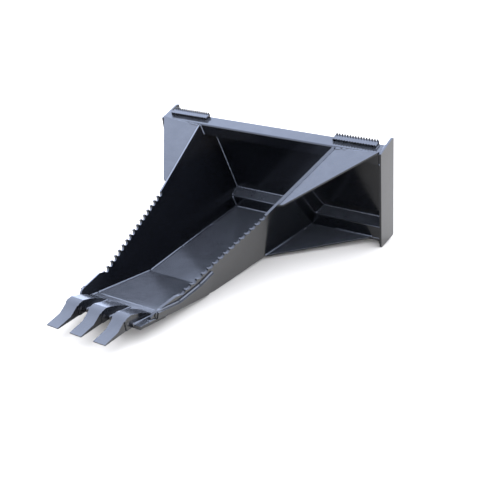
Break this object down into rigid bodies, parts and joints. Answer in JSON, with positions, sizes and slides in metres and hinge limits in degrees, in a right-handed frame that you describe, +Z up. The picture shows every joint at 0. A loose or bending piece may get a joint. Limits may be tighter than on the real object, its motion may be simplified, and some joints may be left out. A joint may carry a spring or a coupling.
{
  "type": "stump bucket",
  "caption": "Narrow scoop bucket with flared, saw-edged sides and pointed teeth, on a wide quick-attach plate for a skid steer loader.",
  "frame": {"origin": "on the ground at the centre of the bounding box's footprint, with the bucket standing on its belly bend and the feet of its end plates", "axes": "+X across the bucket, +Y back towards the loader, +Z up; the teeth point along -Y"},
  "size_m": [1.156, 1.4836, 0.5018],
  "materials": {
    "frame_paint": "gloss",
    "edge_paint": "gloss, lightly scuffed",
    "casting_paint": "gloss over cast texture",
    "pin_steel": "drawn"
  },
  "bodies": {
    "root": {"back_plate": "frame_paint", "bottom_flange": "frame_paint", "cutting_edge": "edge_paint", "end_plate_left": "frame_paint", "end_plate_right": "frame_paint", "floor_plate": "frame_paint", "hook_lip": "frame_paint", "lock_pin_pad_left": "frame_paint", "lock_pin_pad_right": "frame_paint", "lower_beam": "frame_paint", "lower_gusset_left": "frame_paint", "lower_gusset_right": "frame_paint", "side_plate_left": "frame_paint", "side_plate_right": "frame_paint", "step_legs_left": "frame_paint", "step_legs_right": "frame_paint", "step_tread_left": "frame_paint", "step_tread_right": "frame_paint", "tooth_adapter_centre": "casting_paint", "tooth_adapter_left": "casting_paint", "tooth_adapter_right": "casting_paint", "tooth_pin_centre": "pin_steel", "tooth_pin_left": "pin_steel", "tooth_pin_right": "pin_steel", "tooth_point_centre": "casting_paint", "tooth_point_left": "casting_paint", "tooth_point_right": "casting_paint", "top_rail": "frame_paint", "upper_gusset_left": "frame_paint", "upper_gusset_right": "frame_paint", "wear_plate_left": "edge_paint", "wear_plate_right": "edge_paint"}
  },
  "joints": []
}
